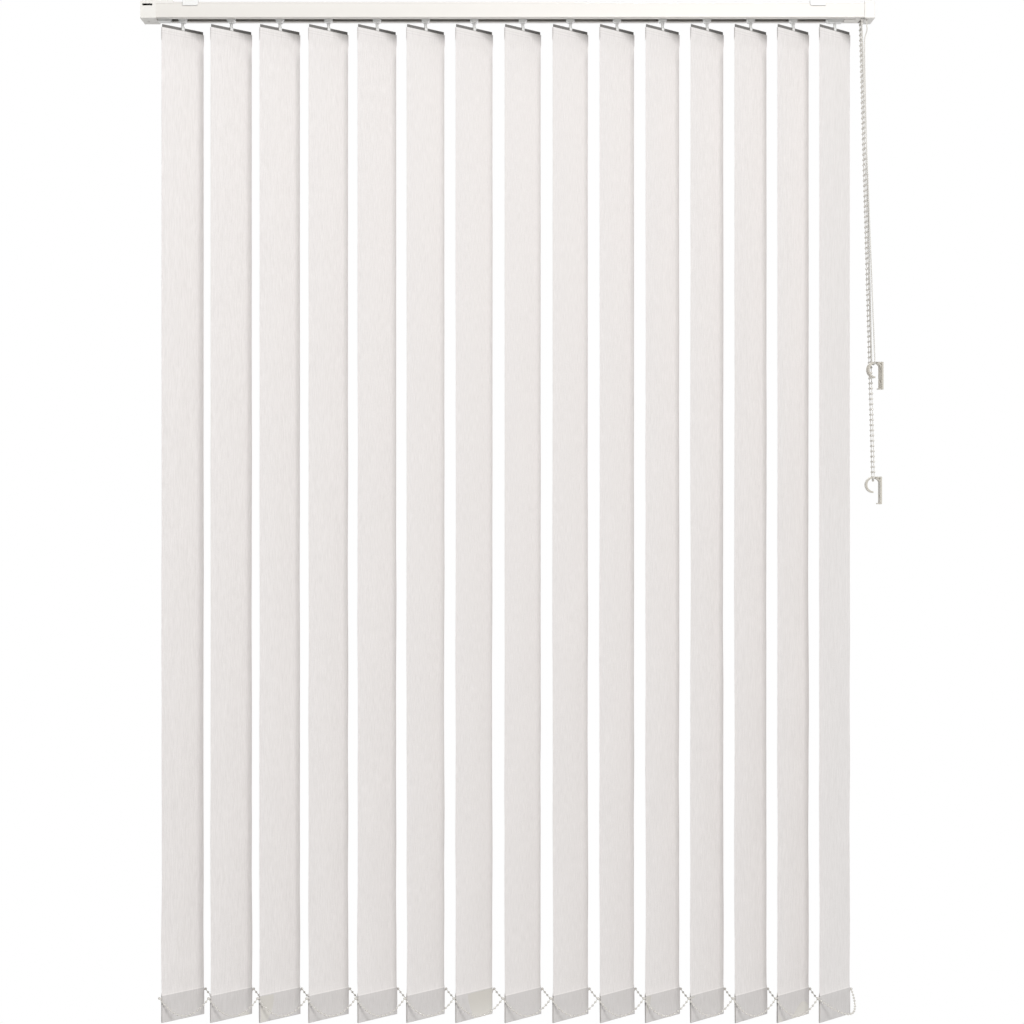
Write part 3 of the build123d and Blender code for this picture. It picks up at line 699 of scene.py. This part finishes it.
def strand_tree():
    """A strand of beads that hangs between two hooks."""
    sockets = {"Start": "Vector", "End": "Vector", "Sag": "Vector", "Bead": "Float", "Gap": "Float",
               "Thread": "Float", "Material": "Material"}
    tree, start, end = geometry_tree("strand", sockets)
    given = start.outputs
    line = add(tree, "GeometryNodeCurvePrimitiveLine", {"Start": given["Start"], "End": given["End"]})
    fine = add(tree, "GeometryNodeResampleCurve", {"Curve": line.outputs[0], "Count": strand_points})
    share = add(tree, "GeometryNodeSplineParameter").outputs["Factor"]
    rest = maths(tree, "SUBTRACT", 1.0, share)
    bow = maths(tree, "MULTIPLY", maths(tree, "MULTIPLY", share, rest), 4.0)
    drop = add(tree, "ShaderNodeVectorMath", {0: given["Sag"], "Scale": bow}, operation="SCALE")
    hung = add(tree, "GeometryNodeSetPosition", {"Geometry": fine.outputs[0], "Offset": drop.outputs[0]})
    beads = beaded(tree, hung.outputs[0], given["Bead"], given["Gap"], given["Thread"])
    end_tree(tree, end, beads, given["Material"])
    return tree


def strand(name, tree, start, end, sag):
    values = {"Start": start, "End": end, "Sag": sag, "Bead": strand_bead, "Gap": strand_bead_gap,
              "Thread": strand_thread, "Material": finishes["chain_plastic"]}
    piece = grown(name, tree, values)
    return piece


def stabiliser_chains():
    """A strand between each pair of hooks, front and back, and the end link on the last slat."""
    tree = strand_tree()
    dx, dy = hook_at * math.cos(slat_turn), hook_at * math.sin(slat_turn)
    hang = (0, 0, -chain_sag)
    for side, word in ((-1, "front"), (1, "rear")):
        y = side * dy
        for n in range(slat_count - 1):
            near = stem_x[n] + side * dx
            far = stem_x[n + 1] + side * dx
            piece = strand(f"{word}_strand_{numbers[n]}", tree, (near, y, hook_z), (far, y, hook_z), hang)
            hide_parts(f"{word}_stabiliser_chain")
            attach(piece, f"{word}_chain")
            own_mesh(piece)
    turned = Matrix.Rotation(slat_turn, 3, "Z")
    last = Vector((stem_x[-1], 0, 0))
    hook = Vector((0, 0, hook_z))
    start, end = (tuple(last + turned @ Vector((side * hook_at, 0, 0)) + hook) for side in (-1, 1))
    out = turned @ Vector((0, -end_link_out, 0)) + Vector(hang)
    piece = strand("end_link", tree, start, end, tuple(out))
    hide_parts(f"slat_{numbers[-1]}")
    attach(piece, f"slat_{numbers[-1]}")


# Routes of the free cords, in millimetres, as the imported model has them
draw_cord_d = 0.002
draw_cord_route = (
    (593.88, -16.5, -31),
    (593.88, -16.5, -40),
    (594.48, -16.7, -57),
    (614.24, -21.4, -591),
    (614.69, -21.9, -604),
    (611.07, -11.1, -604),
    (610.75, -11.6, -591),
    (597.28, -16.4, -73),
    (599.08, -16.5, -58),
    (602.88, -16.5, -48),
    (601.48, -16.5, -39),
    (601.48, -16.5, -31),
)
bead_d = 0.0042
bead_gap = 0.0087
bead_thread = 0.0013
bead_chain_route = (
    (595.98, 2.7, -15.5),
    (595.98, 2.7, -35),
    (596.58, 2.4, -65),
    (615.5, -6.2, -770),
    (615.87, -6.9, -796),
    (614.09, 6.9, -796),
    (613.9, 6.4, -770),
    (596.58, 17.9, -65),
    (595.98, 18.3, -35),
    (595.98, 18.3, -15.5),
)
chain_over_wheel = (
    (595.98, 2.7, -16.5),
    (595.98, 2.7, -7.2),
    (595.98, 18.3, -7.2),
    (595.98, 18.3, -16.5),
)
rail_run = (
    ((593.88, -16.5, -31), (593.88, -16.5, -26), (593.88, -16.5, -18), (586, -16.5, -18)),
    ((586, -16.5, -18), (-584, -16.5, -18)),
    ((-584, -16.5, -18), (-593, -16.5, -18), (-595, -16.5, -13), (-593, -16.5, -8), (-584, -16.5, -8)),
    ((-584, -16.5, -8), (593, -16.5, -8)),
    ((593, -16.5, -8), (601.48, -16.5, -8), (601.48, -16.5, -17), (601.48, -16.5, -31)),
)


def metres(point):
    """A place that is written in millimetres, in the scene's metres."""
    return tuple(c / 1000 for c in point)


def cord_line(name, route):
    """A smooth spline with the route's points as its control points, in metres."""
    line = bpy.data.curves.new(name, "CURVE")
    line.dimensions = "3D"
    spline = line.splines.new("NURBS")
    spline.points.add(len(route) - 1)
    for point, place in zip(spline.points, route):
        point.co = (*metres(place), 1)
    spline.order_u = 3
    spline.use_endpoint_u = True
    spline.resolution_u = 24
    return line


def read_line(line):
    """The spline's own points, as a mesh of edges; with a bevel, its tube."""
    return plain_mesh(put("line_host", line))


def run_length(points):
    return sum((after - before).length for before, after in zip(points, points[1:]))


def braided(line, diameter):
    line.bevel_depth = diameter / 2
    line.bevel_resolution = 4
    line.use_fill_caps = True
    line.materials.append(finishes["cord_braid"])


def draw_cord(clip):
    """The free loop of the draw cord, out of the control cap, round its clip and back in."""
    line = cord_line("draw_cord_loop", draw_cord_route)
    length = run_length([v.co for v in read_line(line).vertices])
    braided(line, draw_cord_d)
    piece = put("draw_cord_loop", line)
    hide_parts("draw_cord")
    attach(piece, "root")


def rail_cord():
    """The draw cord's run in the rail, round the idler pulley and over the two in the control cap."""
    lines = [cord_line(f"rail_cord_{n}", route) for n, route in enumerate(rail_run)]
    for line in lines:
        braided(line, draw_cord_d)
    runs = [read_line(line) for line in lines]
    whole = bmesh.new()
    for run in runs:
        whole.from_mesh(run)
    mesh = bpy.data.meshes.new("rail_cord_run")
    whole.to_mesh(mesh)
    whole.free()
    mesh.shade_smooth()
    piece = put("rail_cord_run", mesh)
    finish_with(piece, "cord_braid")
    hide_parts("rail_cord")
    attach(piece, "root")


def chain_tree():
    """Beads on a thread along a given line."""
    sockets = {"Line": "Geometry", "Bead": "Float", "Gap": "Float", "Thread": "Float",
               "Material": "Material"}
    tree, start, end = geometry_tree("bead_chain", sockets)
    given = start.outputs
    curve = add(tree, "GeometryNodeMeshToCurve", {"Mesh": given["Line"]})
    beads = beaded(tree, curve.outputs[0], given["Bead"], given["Gap"], given["Thread"])
    end_tree(tree, end, beads, given["Material"])
    return tree


def bead_chain(clip):
    """The operating chain, from its wheel down through its clip and back."""
    tree = chain_tree()
    values = {"Bead": bead_d, "Gap": bead_gap, "Thread": bead_thread, "Material": finishes["chain_plastic"]}
    line = read_line(cord_line("chain_line", bead_chain_route))
    piece = grown("bead_chain_loop", tree, values, line)
    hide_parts("bead_chain")
    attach(piece, "root")
    line = read_line(cord_line("chain_line", chain_over_wheel))
    over = grown("bead_chain_over_wheel", tree, values, line)
    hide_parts("bead_chain")
    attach(over, "root")


# The clips that hold the cord and the chain to the wall
clip_ring = 0.0137
clip_strip = 0.003
clip_deep = 0.008
clip_plate = 0.0032
clip_plate_deep = 0.013
clip_plate_high = 0.046
clip_hole = 0.002
clip_hole_up = 0.014
clip_foot = 0.0045
clip_foot_thick = 0.0018
clip_bar_from = 0.005
clip_sink = 0.0005


def strip_shape(points, thick, deep):
    """A strip of even thickness that follows (across, up) points, softened along its edges."""
    shape = bmesh.new()
    sides = []
    for n, point in enumerate(points):
        before = Vector(points[max(n - 1, 0)])
        after = Vector(points[min(n + 1, len(points) - 1)])
        along = (after - before).normalized()
        out = Vector((-along.y, along.x)) * thick / 2
        here = Vector(point)
        outer, inner, half = here + out, here - out, deep / 2
        corners = ((outer, -half), (outer, half), (inner, half), (inner, -half))
        sides.append([shape.verts.new((flat.x, y, flat.y)) for flat, y in corners])
    for near, far in zip(sides, sides[1:]):
        for n in range(4):
            after = (n + 1) % 4
            shape.faces.new((near[n], near[after], far[after], far[n]))
    shape.faces.new(sides[0])
    shape.faces.new(sides[-1])
    bmesh.ops.recalc_face_normals(shape, faces=shape.faces)
    soften_edges(shape, sharp_edges(shape, sharp_angle), offset=0.0005)
    return shape


def holed_plate():
    """The clip's flat plate, with the hole for its screw."""
    shape = bmesh.new()
    low = clip_ring - clip_plate_high
    half = clip_plate_deep / 2
    corners = [(-half, low), (half, low), (half, clip_ring), (-half, clip_ring)]
    edge = [shape.verts.new((0, y, z)) for y, z in corners]
    turns = [2 * math.pi * n / 32 for n in range(32)]
    hole_z = low + clip_hole_up
    hole = [shape.verts.new((0, clip_hole * math.cos(a), hole_z + clip_hole * math.sin(a))) for a in turns]
    loops = [shape.edges.new((loop[n - 1], loop[n])) for loop in (edge, hole) for n in range(len(loop))]
    bmesh.ops.triangle_fill(shape, use_beauty=True, use_dissolve=False, edges=loops)
    drawn = bmesh.ops.extrude_face_region(shape, geom=list(shape.faces))
    moved = [v for v in drawn["geom"] if isinstance(v, bmesh.types.BMVert)]
    bmesh.ops.translate(shape, verts=moved, vec=(clip_plate, 0, 0))
    bmesh.ops.translate(shape, verts=shape.verts, vec=(clip_ring - clip_plate, 0, 0))
    bmesh.ops.recalc_face_normals(shape, faces=shape.faces)
    soften_edges(shape, sharp_edges(shape, sharp_angle), offset=0.0004)
    return shape


def cord_clip(name, centre, turn):
    """A P-shaped clip: a strip that curls round under its bar, and the plate that is screwed on."""
    middle = clip_ring - clip_strip / 2
    low = clip_ring - clip_plate_high
    inner = clip_ring - clip_plate
    joint = inner + clip_sink

    def arc(first, last):
        turns = [math.radians(a) for a in range(first, last, 6)]
        return [(middle * math.cos(a), middle * math.sin(a)) for a in turns]

    strip = strip_shape([(joint, middle), (clip_bar_from, middle), *arc(90, 276)], clip_strip, clip_deep)
    corner = strip_shape(arc(0, 91), clip_strip, clip_deep)
    half = clip_deep / 2
    foot_low, foot_high = (inner - clip_foot, -half, low), (joint, half, low + clip_foot_thick)
    foot = box_shape(foot_low, foot_high, soften=0.0004)
    shapes = [strip, corner, holed_plate(), foot]
    piece = joined(name, shapes, metres(centre), math.radians(turn))
    finish_with(piece, "clip_plastic")
    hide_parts("cord_clips")
    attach(piece, "root")
    return piece


def cords_and_clips():
    draw_cord(cord_clip("draw_cord_clip", centre=(614.76, -15.816, -612.7), turn=20))
    bead_chain(cord_clip("bead_chain_clip", centre=(614.98, 0, -803.2), turn=8))
    rail_cord()


# Wheels on their pins, and the rod
def grooved_wheel(name, rim, seat, thick, bore, place, axis):
    """A wheel with a rounded groove for its cord, on an axle along Y or X."""
    half = thick / 2
    lip, chamfer = 0.0005, 0.0003
    groove = [(seat + (rim - seat) * abs(t) ** 1.7, t * (half - lip)) for t in (-0.7, -0.4, 0, 0.4, 0.7)]
    profile = [(bore, -half), (rim - chamfer, -half), (rim, -half + chamfer), *groove,
               (rim, half - chamfer), (rim - chamfer, half), (bore, half)]
    wheel = lathe(profile, sides=48, hollow=True)
    wheel.transform(Matrix.Rotation(math.radians(90), 4, "X" if axis == "Y" else "Y"))
    piece = joined(name, [wheel], metres(place))
    finish_with(piece, "pulley_plastic")
    return piece


def wheels():
    cord_wheel_thick, pin_bore = 0.0044, 0.00136
    for name, node, body, rim, seat, place in (
        ("idler_wheel_groove", "idler_pulley", "idler_wheel", 0.0061, 0.0038, (-588.98, -16.5, -13)),
        ("low_wheel_groove", "low_cord_pulley", "low_wheel", 0.0051, 0.0028, (589.88, -16.5, -22)),
        ("high_wheel_groove", "high_cord_pulley", "high_wheel", 0.0051, 0.0028, (597.48, -16.5, -12)),
    ):
        piece = grooved_wheel(name, rim, seat, cord_wheel_thick, pin_bore, place, "Y")
        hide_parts(node)
        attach(piece, body)
    piece = grooved_wheel("chain_wheel_groove", rim=0.0086, seat=0.0054, thick=0.006, bore=0.00305,
                          place=(595.98, 10.5, -15.5), axis="X")
    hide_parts("chain_wheel")
    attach(piece, "tilt_drive")


# Facets that turn by less than the first are one flat side; edges past the second are softened
same_side = math.radians(1.0)
softened_past = math.radians(30)


def refined(node, slot, soften):
    """A copy of a node's own shape, merged, with its sharp edges softened."""
    mesh = frame["nodes"][node].data.copy()
    shape = bmesh.new()
    shape.from_mesh(mesh)
    bmesh.ops.remove_doubles(shape, verts=shape.verts, dist=1e-6)
    bmesh.ops.dissolve_limit(shape, angle_limit=same_side, verts=shape.verts, edges=shape.edges)
    soften_edges(shape, sharp_edges(shape, softened_past), soften)
    shape.to_mesh(mesh)
    shape.free()
    piece = evenly_shaded(node + "_moulded", mesh)
    finish_with(piece, slot)
    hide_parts(node)
    return piece


def body_of_node(node):
    bodies = frame["record"]["behaviour"]["bodies"]
    return next(body for body, nodes in bodies.items() if node in nodes)


def rail_and_fittings():
    for node, slot, soften in (
        ("headrail", "rail_paint", 0.00035),
        ("idler_end_cap", "cap_plastic", 0.0003),
        ("control_end_cap", "cap_plastic", 0.0003),
        ("mounting_brackets", "bracket_plastic", 0.0003),
        *((f"carrier_{number}", "carrier_plastic", 0.00015) for number in numbers),
    ):
        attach(refined(node, slot, soften), body_of_node(node))
    finish_with(frame["nodes"]["tilt_rod"], "rod_aluminium")


# Floor, backdrop and light
def floor_mesh():
    """The floor, which curves up into the backdrop."""
    floor_z = -2.3
    mesh = bpy.data.meshes.new("floor")
    back, front, wide, high, curve = 4.0, -9.0, 9.0, 3.0, 1.2
    profile = [(front, floor_z), (back - curve, floor_z)]
    profile += [(back - curve + curve * math.sin(a), floor_z + curve - curve * math.cos(a))
                for a in (math.pi / 2 * n / 12 for n in range(1, 13))]
    profile.append((back, high))
    points = [(x, y, z) for y, z in profile for x in (-wide, wide)]
    faces = [(2 * n, 2 * n + 1, 2 * n + 3, 2 * n + 2) for n in range(len(profile) - 1)]
    mesh.from_pydata(points, [], faces)
    mesh.shade_smooth()
    return mesh


def floor_white():
    """White to the camera and in reflections, and a plain pale floor to everything else."""
    made, tree, shader = material("floor_white", (0.82, 0.82, 0.82), 0.9)
    rays = add(tree, "ShaderNodeLightPath")
    seen = maths(tree, "MAXIMUM", rays.outputs["Is Camera Ray"], rays.outputs["Is Glossy Ray"])
    seen = maths(tree, "MAXIMUM", seen, rays.outputs["Is Transmission Ray"])
    glow = add(tree, "ShaderNodeEmission", {"Color": (1, 1, 1, 1), "Strength": 1.0})
    mix = add(tree, "ShaderNodeMixShader", {0: seen})
    tree.links.new(shader.outputs[0], mix.inputs[1])
    tree.links.new(glow.outputs[0], mix.inputs[2])
    tree.links.new(mix.outputs[0], tree.nodes["Material Output"].inputs["Surface"])
    return made


def studio():
    """The floor, a white world at a low level, and two soft lamps aimed at the blind's middle."""
    world_strength = 0.4
    blind_middle = Vector((0, 0, -0.8))
    floor = put("floor", floor_mesh())
    floor.data.materials.append(floor_white())
    world = bpy.data.worlds.new("studio")
    scene.world = world
    world.use_nodes = True
    background = world.node_tree.nodes["Background"]
    background.inputs["Color"].default_value = (1, 1, 1, 1)
    background.inputs["Strength"].default_value = world_strength
    for name, place, size, power in (
        ("key", (1.2, -5.0, 2.6), 2.0, 290.0),
        ("rear", (0.6, 2.4, 0.6), 2.5, 14.0),
    ):
        lamp = bpy.data.lights.new(name, "AREA")
        lamp.shape = "SQUARE"
        lamp.size = size
        lamp.energy = power
        source = bpy.data.objects.new(name, lamp)
        source.location = place
        aim = blind_middle - Vector(place)
        source.rotation_euler = aim.to_track_quat("-Z", "Y").to_euler()
        scene.collection.objects.link(source)
    scene.view_settings.view_transform = "Standard"


slats()
weights()
stems()
stabiliser_chains()
cords_and_clips()
wheels()
rail_and_fittings()
studio()
